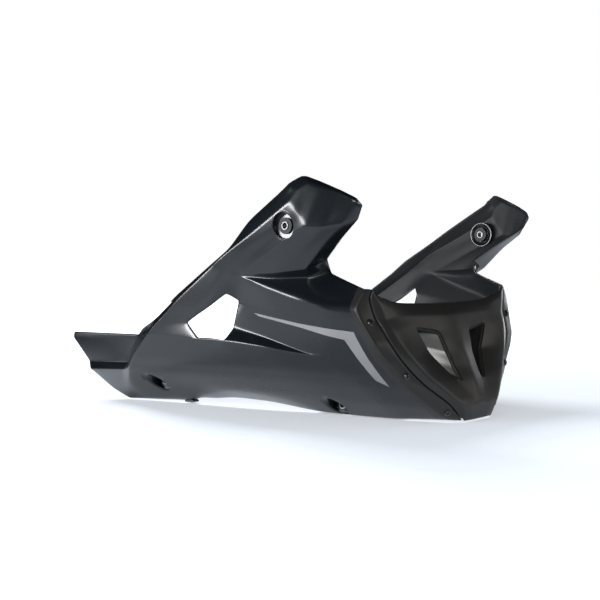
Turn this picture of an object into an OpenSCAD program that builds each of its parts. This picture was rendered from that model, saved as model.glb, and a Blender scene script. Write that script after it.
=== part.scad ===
// Belly pan for a motorcycle: two moulded side panels, a nose scoop screwed between
// their front strips, rubber-bushed mounting points, and a cross plate under the belly.
// Frame: X forward, Y left, Z up, the floor at z = 0. Millimetres.

/* [Moulded shells] */

// Wall of the side panels
wall = 3; // [2:0.5:4]
// Wall of the nose scoop
nose_wall = 2.5; // [2:0.5:4]
// Wall of the intake ducts
duct_wall = 2; // [1.5:0.5:3]
// Air left between two seated shells
seat_gap = 0.3; // [0.2:0.1:0.6]
// Air left between a duct's mouth and the scoop
duct_gap = 0.6; // [0.4:0.1:0.8]

/* [Upper mounting wells] */

// Radius of the well in each upper arm
well_r = 13.5; // [12:0.5:16]
// Depth of the well floor behind the top corner of the arm's face
well_sink = 10; // [8:1:13]
// Forward place of the well
well_x = 146; // [140:1:152]
// Height of the well
well_z = 211; // [206:1:216]

/* [Lower mounting pockets] */

// Radius of the two lower pockets
pocket_r = 10; // [9:0.5:11]
// Rear pocket: forward place of its axis
rear_x = -108; // [-112:1:-104]
// Rear pocket: depth of its floor behind the widest point above it
rear_sink = 40; // [36:1:43]
// Rear pocket: height of its axis
rear_z = 28; // [26:1:31]
// Front pocket: forward place of its axis
front_x = 122; // [116:1:128]
// Front pocket: its floor lies this far outboard of the belly edge
front_rise = 4; // [2:1:6]
// Front pocket: height of its axis
front_z = 11.5; // [11:0.5:14]
// Thickness of every pocket and well floor
floor_t = 3; // [2.5:0.5:4]

/* [Rubber bushes and sleeves] */

// Bore of the metal sleeves, for an M6 screw
sleeve_bore_d = 6.4; // [6.2:0.1:7]
// Wall of the metal sleeves
sleeve_wall = 1; // [0.8:0.1:1.2]
// Length of the metal sleeves
sleeve_len = 9; // [8:0.5:12]
// Outside of the rubber flanges
bush_d = 17; // [15:0.5:18]
// Thickness of a rubber flange
bush_flange = 2; // [1.5:0.5:2.5]
// Outside of the rubber flanges in the lower pockets
low_bush_d = 13; // [12.5:0.5:14]
// Thickness of rubber around a sleeve, in the floor's hole
bush_rubber = 1.2; // [1:0.1:1.5]
// Clearance of rubber in plastic and of metal in rubber
bush_fit = 0.1; // [0.05:0.05:0.3]

/* [Strip screws] */

// Shank of the strip screws
screw_d = 4; // [3.5:0.5:5]
// Button head
head_d = 7.8; // [7:0.2:9]
// Height of the button head
head_h = 2.2; // [1.8:0.2:3]
// Socket across its flats
socket_af = 2.5; // [2:0.5:3]
// Clearance of a shank in the shells
screw_fit = 0.3; // [0.2:0.1:0.5]
// Clip nut: side of its plate
nut_side = 11; // [10:1:12]
// Clip nut: thickness
nut_t = 3; // [2.5:0.5:4]

/* [Trim and cross plate] */

// Thickness of the stripe film
film = 0.3; // [0.2:0.1:0.5]
// Thickness of the cross plate
plate_t = 2.5; // [2:0.5:3]
// Length of the cross plate along the vehicle
plate_len = 64; // [50:2:80]
// Forward place of the cross plate
plate_x = 152; // [140:1:160]
// From an edge of the cross plate to the floor of the front pocket
plate_clear = 13; // [11:1:14]
// From an end of the cross plate to the screws there
plate_margin = 10; // [8:1:14]
// From a long edge of the cross plate to its screws
plate_edge = 3.5; // [3.5:0.5:4.5]
// Shank length of the strip screws
screw_len = 14; // [13:1:16]
// Inward reach of the tail hooks
hook_h = 10; // [8:1:12]
// Width of the tail hooks
hook_w = 14; // [10:1:16]

/* [Hidden] */
shift_x = 4.5;
NA = [];
bore_r = sleeve_bore_d / 2;
sleeve_d = sleeve_bore_d + 2 * sleeve_wall;
bush_waist_d = sleeve_d + 2 * bush_fit + 2 * bush_rubber;
slot_r = screw_d / 2 + screw_fit;
dome_r = 0.72 * head_d;
hook_x = rear_x + 4;
hook_y = 104;
flange_in = wall + 2 * seat_gap;

// The outer face of a side panel, as a net of design points: rows climb from the belly
// edge to the head of the arm, columns run forward from the tail to the front strip.
// The rear rows differ between the two sides, so each side has its own first columns.
lip = [NA, NA, NA, NA, NA, NA, [80,56,3], [136,50,3], [188,45,3], NA, NA];
body = [
  [[-88,102,2], [-25,94,10], [25,85,8], [80,72,1], [136,66,0], [188,60,0], [243,42,1], [255,30,0]],
  [[-62,130,25], [-15,126,25], [35,118,24], [95,106,22], [150,98,21], [192,91,20], [240,72,19], [252,54,21]],
  [[-42,160,44], [5,154,44], [48,148,44], [103,137,43], [152,126,42], [188,119,41], [231,106,44], [240,86,44]],
  [[-28,178,60], [15,173,60], [52,168,60], [104,158,59], [152,144,57], [183,136,56], [226,122,59], [233,101,59]],
  [[9,190,89], [28,190,89], [45,190,88], [99,180,83], [138,163,76], [161,155,73], [223,137,74], [228,115,75]],
  [[-9,190,106], NA, [49,178,102], [91,171,92], [139,161,78], [165,157,77], [220,147,89], [223,125,91]],
  [[8,191,115], NA, [54,179,117], [97,174,109], [144,171,100], [175,166,93], [215,152,100], [218,130,103]],
  [[25,192,123], [50,189,139], [58,179,132], [110,181,123], [148,177,117], [180,172,112], [210,157,113], [212,135,115]],
  [[48,197,161], [63,195,158], [79,194,157], [112,192,146], [148,186,136], [176,177,130], [205,161,126], [209,142,135]],
  [[58,198,170], [68,196,165], [80,194,159], [121,184,157], [151,171,158], [166,149,163], [207,147,147], [210,139,146]]
];
arm = [
  [[68,199,178], [73,197,170], [80,195,162], [127,193,163], [159,184,167], [162,150,177]],
  [[113,204,200], [122,202,194], [130,201,188], [161,196,188], [185,186,193], [191,163,198]],
  [[162,209,226], [169,207,217], [175,206,209], [193,199,208], [208,188,210], [219,174,216]],
  [[171,204,251], [177,202,254], [190,198,249], [205,191,244], [220,184,235], [224,177,225]],
  [[164,198,262], [169,196,262], [184,191,256], [206,185,246], [221,180,238], [226,178,230]]
];
rear_right = [
  [[-181,124,0], [-165,119,0], [-140,112,0]],
  [[-206,131,12], [-180,138,18], [-152,147,24]],
  [[-231,148,37], [-150,163,43], [-128,172,45]],
  [[-243,140,46], [-155,150,49], [-112,181,61]],
  [[-270,145,76], [-137,152,79], [-80,189,88]],
  [[-269,145,84], [-132,153,86], [-62,191,102]],
  [NA, [-93,175,97], [-46,192,113]],
  [[-46,184,128], [-34,189,130], [-20,195,132]],
  [[24,190,169], [30,195,169], [35,198,168]],
  [[38,191,177], [43,196,177], [48,200,176]],
  [[58,192,189], [60,197,187], [63,201,185]],
  [[88,195,218], [96,200,213], [105,205,206]],
  [[133,200,244], [144,205,240], [156,210,234]],
  [[144,202,250], [156,206,249], [165,206,247]],
  [[151,203,254], [155,202,257], [160,200,260]]
];
rear_left = [
  [[-178,124,0], [-160,119,0], [-138,112,0]],
  [[-188,135,12], [-170,139,18], [-150,147,24]],
  [[-199,145,28], [-150,154,33], [-124,168,38]],
  [[-202,145,38], [-146,155,42], [-106,174,48]],
  [NA, [-100,170,56], [-84,187,66]],
  [NA, [-78,179,88], [-68,190,84]],
  [NA, [-68,181,101], [-56,192,99]],
  [[-42,184,124], [-37,189,122], [-28,195,122]],
  [[10,189,160], [20,194,158], [28,198,158]],
  [[31,191,177], [39,196,172], [44,200,170]],
  [[71,195,202], [68,199,193], [63,201,184]],
  [[96,196,218], [100,200,212], [105,205,206]],
  [[133,200,241], [144,205,238], [156,210,234]],
  [[148,202,250], [157,206,249], [165,206,247]],
  [[153,203,255], [157,202,258], [161,200,260]]
];
function net_of(rear) = concat([lip],
  [for (i = [0:9]) concat(rear[i], body[i])],
  [for (i = [0:4]) concat(rear[i + 10], arm[i], [NA, NA])]);
right_net = net_of(rear_right);
left_net = net_of(rear_left);
// Floors of the well and the pockets, as distances from the middle plane.
well_y = left_net[13][2][1] - well_sink;
rear_y = left_net[3][2][1] - rear_sink;
front_y = left_net[1][7][1] + front_rise;
// The window is the cells left open between these rows and columns.
function window_cell(r, c) = (r == 5 || r == 6 || r == 7) && (c == 3 || c == 4);

// The nose scoop, left half, from the flange behind the strip to the middle plane.
nose_half = [
  [[256,24,0], [257,15,0], [257,7,0], [257,0,0]],
  [[260,38,19], [261,24,18], [261,10,18], [261,0,18]],
  [[248,70,44], [248,30,44], [249,20,44], [252,0,44]],
  [[241,86,58], [238,42,58], [241,22,58], [245,0,58]],
  [[235,99,74], [228,55,74], [234,24,74], [239,0,74]],
  [[228,110,90], [225,66,90], [229,28,89], [232,0,89]],
  [[223,118,103], [222,76,105], [225,31,99], [228,0,99]],
  [[217,124,115], [218,88,117], [220,30,116], [221,0,116]],
  [[214,130,132], [214,90,124], [216,30,122], [216,0,122]],
  [[210,134,141], [209,92,131], [210,30,129], [210,0,129]]
];
function nose_window(r, c) = r >= 2 && r <= 5 && (c == 4 || c == 7);

function unit(v) = v / max(norm(v), 0.001);
function has(p) = len(p) == 3;
function skip_none(r, c) = false;
function mixp(a, b, t) = a + (b - a) * t;
// Outward direction of one cell of a net: up-direction crossed with forward-direction.
function cell_dir(n, r, c) = unit(cross(n[r+1][c+1] - n[r][c], n[r][c+1] - n[r+1][c]));
function cell_ok(n, r, c, kind) = r >= 0 && c >= 0 && r < len(n) - 1 && c < len(n[0]) - 1
  && has(n[r][c]) && has(n[r][c+1]) && has(n[r+1][c]) && has(n[r+1][c+1])
  && !(kind == 1 ? window_cell(r, c) : kind == 2 ? nose_window(r, c) : false);
// Outward direction at one point of a net: the mean of its cells.
function sum3(v, i = 0) = i >= len(v) ? [0, 0, 0] : v[i] + sum3(v, i + 1);
function node_dir(n, r, c, kind) = unit(sum3([for (a = [r-1, r], b = [c-1, c])
  if (cell_ok(n, a, b, kind)) cell_dir(n, a, b)]));
function used(n, r, c, kind) = has(n[r][c]) && (cell_ok(n, r-1, c-1, kind) || cell_ok(n, r-1, c, kind)
  || cell_ok(n, r, c-1, kind) || cell_ok(n, r, c, kind));
function offset_net(n, d, kind) = [for (r = [0:len(n)-1]) [for (c = [0:len(n[0])-1])
  used(n, r, c, kind) ? n[r][c] + node_dir(n, r, c, kind) * d : [0, 0, 0]]];

// A solid shell between the net moved out by d_out and moved in by d_in.
module shell(n, d_out, d_in, kind) {
  nr = len(n); nc = len(n[0]); m = nr * nc;
  o = offset_net(n, d_out, kind); i = offset_net(n, -d_in, kind);
  pts = concat([for (r = [0:nr-1], c = [0:nc-1]) o[r][c]], [for (r = [0:nr-1], c = [0:nc-1]) i[r][c]]);
  cells = [for (r = [0:nr-2], c = [0:nc-2]) if (cell_ok(n, r, c, kind)) [r, c]];
  // Each cell is two triangles; past the middle column the diagonal turns over, so that both halves mirror.
  halves = [for (q = cells) let (a = q[0] * nc + q[1], b = a + 1, d = a + nc, e = d + 1)
    each kind == 2 && q[1] >= nc / 2 - 1 ? [[a, b, d], [b, e, d]] : [[a, b, e], [a, e, d]]];
  skin = concat(halves, [for (t = halves) [m + t[0], m + t[2], m + t[1]]]);
  rim = [for (q = cells, k = [0:3])
    let (a = q[0] * nc + q[1], b = a + 1, d = a + nc, e = d + 1,
         s = [[q[0]-1, q[1]], [q[0], q[1]+1], [q[0]+1, q[1]], [q[0], q[1]-1]][k],
         f = [[a, b], [b, e], [e, d], [d, a]][k])
    if (!cell_ok(n, s[0], s[1], kind)) f];
  walls = [for (f = rim, k = [0, 1]) k == 0 ? [f[0], m + f[0], m + f[1]] : [f[0], m + f[1], f[1]]];
  polyhedron(points = pts, faces = concat(skin, walls), convexity = 12);
}

module at_y(x, y, z) { translate([x, y, z]) rotate([-90, 0, 0]) children(); }
module at_dir(p, d) {
  v = unit(d);
  translate(p) rotate([0, acos(v[2]), atan2(v[1], v[0])]) children();
}
// Where the strip screws sit: row, share of the way up to the next row.
strip_at = [[1, 0.55], [3, 0.67], [7, 0.8]];
function strip_pt(k) = let (r = strip_at[k][0], t = strip_at[k][1], n = left_net)
  (mixp(n[r][9], n[r+1][9], t) + mixp(n[r][10], n[r+1][10], t)) / 2;
function strip_dir(k) = cell_dir(left_net, strip_at[k][0], 9);
// The nose net with its flange: two columns behind the strip, one at the parting line.
inner_net = offset_net(left_net, -flange_in, 1);
function nose_row(i) = let (r = i + 1, a = left_net[r][9], b = left_net[r][10], e = unit(b - a),
    ia = inner_net[r][9], ib = inner_net[r][10])
  concat([mixp(ia, ib, 0.15), ib + e * 0.5, b + e * 2.2], nose_half[i]);
function flip(p) = [p[0], -p[1], p[2]];
nose_net = [for (i = [0:9]) let (h = nose_row(i)) concat(h, [for (k = [5:-1:0]) flip(h[k])])];

module mounts_cut(upper_floor) {
  at_y(well_x, well_y, well_z) cylinder(r = well_r, h = 40, $fn = 64);
  at_y(rear_x, rear_y, rear_z) cylinder(r = pocket_r, h = 60, $fn = 64);
  at_y(front_x, front_y, front_z) cylinder(r = pocket_r, h = 60, $fn = 64);
}
module cup(x, y, z, r, h) {
  difference() {
    at_y(x, y - floor_t, z) cylinder(r = r + wall - 0.5, h = h + floor_t, $fn = 64);
    at_y(x, y, z) cylinder(r = r, h = h + 2, $fn = 64);
    at_y(x, y - floor_t - 1, z) cylinder(d = bush_waist_d + 2 * bush_fit, h = floor_t + 2, $fn = 48);
  }
}
module hook_tab() {
  translate([hook_x, hook_y - hook_h, wall / 6]) cube([hook_w, hook_h + wall + 1, wall]);
}
module side_panel(n) {
  difference() {
    union() {
      shell(n, 0, wall, 1);
      hook_tab();
    }
    mounts_cut();
    for (k = [0:2]) at_dir(strip_pt(k) - strip_dir(k) * 12, strip_dir(k)) cylinder(r = slot_r, h = 24, $fn = 32);
    plate_holes();
  }
  difference() {
    union() {
      cup(well_x, well_y, well_z, well_r, 14);
      cup(rear_x, rear_y, rear_z, pocket_r, 34);
      cup(front_x, front_y, front_z, pocket_r, 34);
    }
    shell(n, 50, wall / 2, 0);
  }
}
module bush(x, y, z, d) {
  difference() {
    union() {
      at_y(x, y + bush_fit, z) cylinder(d = d, h = bush_flange, $fn = 64);
      at_y(x, y - floor_t - bush_fit - bush_flange, z) cylinder(d = d, h = bush_flange, $fn = 64);
      at_y(x, y - floor_t - bush_flange, z) cylinder(d = bush_waist_d, h = floor_t + 2 * bush_flange, $fn = 64);
    }
    at_y(x, y - 20, z) cylinder(d = sleeve_d + 2 * bush_fit, h = 40, $fn = 64);
  }
}
module sleeve(x, y, z) {
  difference() {
    at_y(x, y - floor_t / 2 - sleeve_len / 2, z) cylinder(d = sleeve_d, h = sleeve_len, $fn = 64);
    at_y(x, y - 20, z) cylinder(r = bore_r, h = 40, $fn = 64);
  }
}
module screw(l) {
  difference() {
    union() {
      intersection() {
        translate([0, 0, seat_gap / 2]) cylinder(d = head_d, h = head_h, $fn = 48);
        translate([0, 0, seat_gap / 2 + head_h - dome_r]) sphere(r = dome_r, $fn = 64);
      }
      translate([0, 0, -l]) cylinder(d = screw_d, h = l + head_h / 2, $fn = 32);
    }
    translate([0, 0, head_h * 0.45]) cylinder(d = socket_af / cos(30), h = 3, $fn = 6);
  }
}
module strip_screws() { for (k = [0:2]) at_dir(strip_pt(k), strip_dir(k)) screw(screw_len); }
module clip_nuts() {
  depth = flange_in + nose_wall + 3 * seat_gap + nut_t;
  for (k = [0:2]) at_dir(strip_pt(k) - strip_dir(k) * depth, strip_dir(k)) difference() {
    union() {
      translate([-nut_side / 2, -nut_side / 2, 0]) cube([nut_side, nut_side, nut_t / 3]);
      cylinder(d = 0.73 * nut_side, h = nut_t, $fn = 48);
    }
    translate([0, 0, -nut_t / 3]) cylinder(r = screw_d / 2 + screw_fit / 3, h = nut_t * 5 / 3, $fn = 32);
  }
}
stripe_path = [[82,119], [141,109.5], [201,102], [206,80], [213,42], [203,49], [194,80], [190,93.5], [141,105.5], [88,115.5]];
module stripe(n) {
  intersection() {
    shell(n, 0.05 + film, -0.05, 1);
    translate([0, well_y + 40, 0]) rotate([90, 0, 0]) linear_extrude(well_y - 40) polygon(stripe_path);
  }
}
module nose_scoop_body() {
  difference() {
    shell(nose_net, 0, nose_wall, 2);
    for (s = [1, -1], k = [0:2]) scale([1, s, 1])
      at_dir(strip_pt(k) - strip_dir(k) * 14, strip_dir(k)) cylinder(r = slot_r, h = 28, $fn = 32);
  }
}
// A duct behind one intake: its mouth follows the rim of the opening inside the scoop,
// and its throat is a smaller copy of the mouth further back and higher.
duct_in = offset_net(nose_net, -(nose_wall + duct_gap), 2);
mouth = concat([for (r = [2:6]) duct_in[r][4]], [for (r = [6:-1:2]) duct_in[r][5]]);
throat_at = [186, 50, 94];
throat_share = [0.15, 0.5, 0.4];
module duct() {
  n = len(mouth);
  cm = sum3(mouth) / n;
  throat = [for (q = mouth) [for (k = [0:2]) throat_at[k] + (q[k] - cm[k]) * throat_share[k]]];
  p = concat([for (q = mouth) q + unit(q - cm) * duct_wall], [for (q = throat) q + unit(q - throat_at) * duct_wall],
             throat, mouth);
  f = [for (g = [0:3], i = [0:n-1], k = [0, 1]) let (j = (i + 1) % n, a = g * n, b = ((g + 1) % 4) * n)
    k == 0 ? [a + i, b + j, b + i] : [a + i, a + j, b + j]];
  polyhedron(points = p, faces = [for (t = f) [t[2], t[1], t[0]]], convexity = 6);
}
plate_z = 3 + wall + seat_gap;
plate_half = front_y - plate_clear;
plate_screw_x = plate_len / 2 - plate_margin;
plate_screw_y = plate_half - plate_edge;
module plate_holes() {
  for (s = [-1, 1], x = [-1, 1]) translate([plate_x + x * plate_screw_x, s * plate_screw_y, -wall]) cylinder(r = slot_r, h = plate_z + plate_t + 2 * wall, $fn = 32);
}
module plate() {
  difference() {
    translate([plate_x - plate_len / 2, -plate_half, plate_z]) cube([plate_len, 2 * plate_half, plate_t]);
    plate_holes();
  }
}
module right() { scale([1, -1, 1]) children(); }

module right_side_panel() color([0.10, 0.11, 0.13]) translate([shift_x, 0, 0]) right() side_panel(right_net);
module left_side_panel() color([0.10, 0.11, 0.13]) translate([shift_x, 0, 0]) side_panel(left_net);
module nose_scoop() color([0.12, 0.115, 0.11]) translate([shift_x, 0, 0]) nose_scoop_body();
module right_intake_duct() color([0.08, 0.08, 0.08]) translate([shift_x, 0, 0]) right() duct();
module left_intake_duct() color([0.08, 0.08, 0.08]) translate([shift_x, 0, 0]) duct();
module right_upper_bush() color([0.05, 0.05, 0.05]) translate([shift_x, 0, 0]) right() bush(well_x, well_y, well_z, bush_d);
module left_upper_bush() color([0.05, 0.05, 0.05]) translate([shift_x, 0, 0]) bush(well_x, well_y, well_z, bush_d);
module lower_bushes() { bush(rear_x, rear_y, rear_z, low_bush_d); bush(front_x, front_y, front_z, low_bush_d); }
module right_lower_bushes() color([0.05, 0.05, 0.05]) translate([shift_x, 0, 0]) right() lower_bushes();
module left_lower_bushes() color([0.05, 0.05, 0.05]) translate([shift_x, 0, 0]) lower_bushes();
module right_upper_sleeve() color([0.6, 0.6, 0.62]) translate([shift_x, 0, 0]) right() sleeve(well_x, well_y, well_z);
module left_upper_sleeve() color([0.6, 0.6, 0.62]) translate([shift_x, 0, 0]) sleeve(well_x, well_y, well_z);
module lower_sleeves() { sleeve(rear_x, rear_y, rear_z); sleeve(front_x, front_y, front_z); }
module right_lower_sleeves() color([0.6, 0.6, 0.62]) translate([shift_x, 0, 0]) right() lower_sleeves();
module left_lower_sleeves() color([0.6, 0.6, 0.62]) translate([shift_x, 0, 0]) lower_sleeves();
module right_strip_screws() color([0.05, 0.05, 0.055]) translate([shift_x, 0, 0]) right() strip_screws();
module left_strip_screws() color([0.05, 0.05, 0.055]) translate([shift_x, 0, 0]) strip_screws();
module right_clip_nuts() color([0.4, 0.4, 0.4]) translate([shift_x, 0, 0]) right() clip_nuts();
module left_clip_nuts() color([0.4, 0.4, 0.4]) translate([shift_x, 0, 0]) clip_nuts();
module right_stripe() color([0.48, 0.47, 0.48]) translate([shift_x, 0, 0]) right() stripe(right_net);
module left_stripe() color([0.48, 0.47, 0.48]) translate([shift_x, 0, 0]) stripe(left_net);
module cross_plate() color([0.08, 0.08, 0.08]) translate([shift_x, 0, 0]) plate();
module cross_plate_screws() color([0.05, 0.05, 0.055]) translate([shift_x, 0, 0])
  for (s = [-1, 1], x = [-1, 1]) translate([plate_x + x * plate_screw_x, s * plate_screw_y, plate_z + plate_t]) screw(plate_t + wall + seat_gap + screw_d / 2);

right_side_panel();
left_side_panel();
nose_scoop();
right_intake_duct();
left_intake_duct();
right_upper_bush();
left_upper_bush();
right_lower_bushes();
left_lower_bushes();
right_upper_sleeve();
left_upper_sleeve();
right_lower_sleeves();
left_lower_sleeves();
right_strip_screws();
left_strip_screws();
right_clip_nuts();
left_clip_nuts();
right_stripe();
left_stripe();
cross_plate();
cross_plate_screws();
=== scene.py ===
"""Belly pan of a motorcycle: the smooth moulded skins, finishes, camera and studio."""
import logging
import math
from dataclasses import dataclass, field
from enum import Enum

import bpy
import numpy as np
from mathutils import Matrix, Vector


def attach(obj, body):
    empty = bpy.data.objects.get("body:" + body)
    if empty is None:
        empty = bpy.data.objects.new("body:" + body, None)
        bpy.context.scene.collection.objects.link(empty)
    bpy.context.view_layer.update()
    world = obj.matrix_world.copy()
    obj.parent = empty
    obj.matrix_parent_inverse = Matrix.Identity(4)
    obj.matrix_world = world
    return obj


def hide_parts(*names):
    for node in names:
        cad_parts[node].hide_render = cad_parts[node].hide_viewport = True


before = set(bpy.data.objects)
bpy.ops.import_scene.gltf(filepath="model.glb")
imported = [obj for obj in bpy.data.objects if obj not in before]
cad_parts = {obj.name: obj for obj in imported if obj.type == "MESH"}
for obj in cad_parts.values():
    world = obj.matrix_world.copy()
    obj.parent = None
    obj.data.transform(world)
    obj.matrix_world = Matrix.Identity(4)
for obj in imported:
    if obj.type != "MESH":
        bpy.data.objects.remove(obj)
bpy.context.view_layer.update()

LOG = logging.getLogger("belly_pan")
MM = 0.001
SHIFT_X = 4.5  # moves the nets along X so that the middle of the length is at 0 (mm)
GAP = [math.nan] * 3  # a place in a net that has no skin
START_Y = 0.32  # points that are dropped on a side panel start this far out (m)
WHITE = (1, 1, 1, 1)

Triple = tuple[float, float, float]
Quad = tuple[float, float, float, float]
Thing = bpy.types.Object
Tree = bpy.types.ShaderNodeTree
Node = bpy.types.ShaderNode
Skin = bpy.types.Material
Array = np.ndarray


class Side(Enum):
    """The two sides of the pan; the value is the sign of Y."""

    LEFT = 1
    RIGHT = -1


# Design nets (mm)
LIP = [GAP] * 6 + [[80, 56, 3], [136, 50, 3], [188, 45, 3], GAP, GAP]
BODY = [
    [[-88, 102, 2], [-25, 94, 10], [25, 85, 8], [80, 72, 1],
     [136, 66, 0], [188, 60, 0], [243, 42, 1], [255, 30, 0]],
    [[-62, 130, 25], [-15, 126, 25], [35, 118, 24], [95, 106, 22],
     [150, 98, 21], [192, 91, 20], [240, 72, 19], [252, 54, 21]],
    [[-42, 160, 44], [5, 154, 44], [48, 148, 44], [103, 137, 43],
     [152, 126, 42], [188, 119, 41], [231, 106, 44], [240, 86, 44]],
    [[-28, 178, 60], [15, 173, 60], [52, 168, 60], [104, 158, 59],
     [152, 144, 57], [183, 136, 56], [226, 122, 59], [233, 101, 59]],
    [[9, 190, 89], [28, 190, 89], [45, 190, 88], [99, 180, 83],
     [138, 163, 76], [161, 155, 73], [223, 137, 74], [228, 115, 75]],
    [[-9, 190, 106], GAP, [49, 178, 102], [91, 171, 92],
     [139, 161, 78], [165, 157, 77], [220, 147, 89], [223, 125, 91]],
    [[8, 191, 115], GAP, [54, 179, 117], [97, 174, 109],
     [144, 171, 100], [175, 166, 93], [215, 152, 100], [218, 130, 103]],
    [[25, 192, 123], [50, 189, 139], [58, 179, 132], [110, 181, 123],
     [148, 177, 117], [180, 172, 112], [210, 157, 113], [212, 135, 115]],
    [[48, 197, 161], [63, 195, 158], [79, 194, 157], [112, 192, 146],
     [148, 186, 136], [176, 177, 130], [205, 161, 126], [209, 142, 135]],
    [[58, 198, 170], [68, 196, 165], [80, 194, 159], [121, 184, 157],
     [151, 171, 158], [166, 149, 163], [207, 147, 147], [210, 139, 146]],
]
ARM = [
    [[68, 199, 178], [73, 197, 170], [80, 195, 162], [127, 193, 163], [159, 184, 167], [162, 150, 177]],
    [[113, 204, 200], [122, 202, 194], [130, 201, 188], [161, 196, 188], [185, 186, 193], [191, 163, 198]],
    [[162, 209, 226], [169, 207, 217], [175, 206, 209], [193, 199, 208], [208, 188, 210], [219, 174, 216]],
    [[171, 204, 251], [177, 202, 254], [190, 198, 249], [205, 191, 244], [220, 184, 235], [224, 177, 225]],
    [[164, 198, 262], [169, 196, 262], [184, 191, 256], [206, 185, 246], [221, 180, 238], [226, 178, 230]],
]
REAR = {
    Side.RIGHT: [
        [[-181, 124, 0], [-165, 119, 0], [-140, 112, 0]],
        [[-206, 131, 12], [-180, 138, 18], [-152, 147, 24]],
        [[-231, 148, 37], [-150, 163, 43], [-128, 172, 45]],
        [[-243, 140, 46], [-155, 150, 49], [-112, 181, 61]],
        [[-270, 145, 76], [-137, 152, 79], [-80, 189, 88]],
        [[-269, 145, 84], [-132, 153, 86], [-62, 191, 102]],
        [GAP, [-93, 175, 97], [-46, 192, 113]],
        [[-46, 184, 128], [-34, 189, 130], [-20, 195, 132]],
        [[24, 190, 169], [30, 195, 169], [35, 198, 168]],
        [[38, 191, 177], [43, 196, 177], [48, 200, 176]],
        [[58, 192, 189], [60, 197, 187], [63, 201, 185]],
        [[88, 195, 218], [96, 200, 213], [105, 205, 206]],
        [[133, 200, 244], [144, 205, 240], [156, 210, 234]],
        [[144, 202, 250], [156, 206, 249], [165, 206, 247]],
        [[151, 203, 254], [155, 202, 257], [160, 200, 260]],
    ],
    Side.LEFT: [
        [[-178, 124, 0], [-160, 119, 0], [-138, 112, 0]],
        [[-188, 135, 12], [-170, 139, 18], [-150, 147, 24]],
        [[-199, 145, 28], [-150, 154, 33], [-124, 168, 38]],
        [[-202, 145, 38], [-146, 155, 42], [-106, 174, 48]],
        [GAP, [-100, 170, 56], [-84, 187, 66]],
        [GAP, [-78, 179, 88], [-68, 190, 84]],
        [GAP, [-68, 181, 101], [-56, 192, 99]],
        [[-42, 184, 124], [-37, 189, 122], [-28, 195, 122]],
        [[10, 189, 160], [20, 194, 158], [28, 198, 158]],
        [[31, 191, 177], [39, 196, 172], [44, 200, 170]],
        [[71, 195, 202], [68, 199, 193], [63, 201, 184]],
        [[96, 196, 218], [100, 200, 212], [105, 205, 206]],
        [[133, 200, 241], [144, 205, 238], [156, 210, 234]],
        [[148, 202, 250], [157, 206, 249], [165, 206, 247]],
        [[153, 203, 255], [157, 202, 258], [161, 200, 260]],
    ],
}
NOSE_HALF = [
    [[256, 24, 0], [257, 15, 0], [257, 7, 0], [257, 0, 0]],
    [[260, 38, 19], [261, 24, 18], [261, 10, 18], [261, 0, 18]],
    [[248, 70, 44], [248, 30, 44], [249, 20, 44], [252, 0, 44]],
    [[241, 86, 58], [238, 42, 58], [241, 22, 58], [245, 0, 58]],
    [[235, 99, 74], [228, 55, 74], [234, 24, 74], [239, 0, 74]],
    [[228, 110, 90], [225, 66, 90], [229, 28, 89], [232, 0, 89]],
    [[223, 118, 103], [222, 76, 105], [225, 31, 99], [228, 0, 99]],
    [[217, 124, 115], [218, 88, 117], [220, 30, 116], [221, 0, 116]],
    [[214, 130, 132], [214, 90, 124], [216, 30, 122], [216, 0, 122]],
    [[210, 134, 141], [209, 92, 131], [210, 30, 129], [210, 0, 129]],
]


# Surface helpers
def smooth_share(keen: Array, edge: Array, radius: float, soft: float) -> Array:
    """Share of an edge at which its supporting line lies.

    Formula: a soft share of the edge where the line is soft (keen 0), and the fold's radius
    over the edge's length where it is sharp (keen 1), blended in proportion.

    Args:
        keen: sharpness of the line at each net point, from 0 to 1.
        edge: length of the edge that leaves each net point.
        radius: size of a sharp fold, in the same unit as the edge.
        soft: the share of a soft line.

    Returns:
        The share, from 0 to the soft share.
    """
    sharp = np.minimum(radius / np.maximum(edge, 1e-9), soft)
    return (1 - keen) * soft + keen * sharp


def support_lines(net: Array, keen: Array, radius: float, soft: float) -> Array:
    """Puts two supporting columns between each pair of columns of a net.

    Formula: between neighbours a and b come a + (b - a) s and b - (b - a) t, where s and
    t are the shares that smooth_share gives for the fold at a and the fold at b.

    Args:
        net: points, rows by columns by 3.
        keen: sharpness of each column at each row.
        radius: size of a sharp fold.
        soft: the share of a soft line.

    Returns:
        The net with 3 (columns - 1) + 1 columns.
    """
    a, b = net[:, :-1], net[:, 1:]
    edge = np.linalg.norm(b - a, axis=2)
    s = smooth_share(keen[:, :-1], edge, radius, soft)[..., None]
    t = smooth_share(keen[:, 1:], edge, radius, soft)[..., None]
    parts = np.stack([a, a + (b - a) * s, b - (b - a) * t], axis=2)
    return np.concatenate([parts.reshape(net.shape[0], -1, 3), net[:, -1:]], axis=1)


def spread(values: Array) -> Array:
    """Carries the columns' values on to the lines that support_lines adds, by thirds."""
    a, b = values[:, :-1], values[:, 1:]
    parts = np.stack([a, a + (b - a) / 3, b - (b - a) / 3], axis=2)
    return np.concatenate([parts.reshape(values.shape[0], -1), values[:, -1:]], axis=1)


def refine(net: Array, keen_cols: Array, keen_rows: Array, radius: float, soft: float) -> Array:
    """Adds supporting lines along both directions of a net.

    Args:
        net: points, rows by columns by 3.
        keen_cols: sharpness of the folds that run along columns.
        keen_rows: sharpness of the folds that run along rows.
        radius: size of a sharp fold.
        soft: the share of a soft line.

    Returns:
        The refined net.
    """
    wide = support_lines(net, keen_cols, radius, soft)
    rows = spread(keen_rows)
    return support_lines(wide.transpose(1, 0, 2), rows.T, radius, soft).transpose(1, 0, 2)


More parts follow.
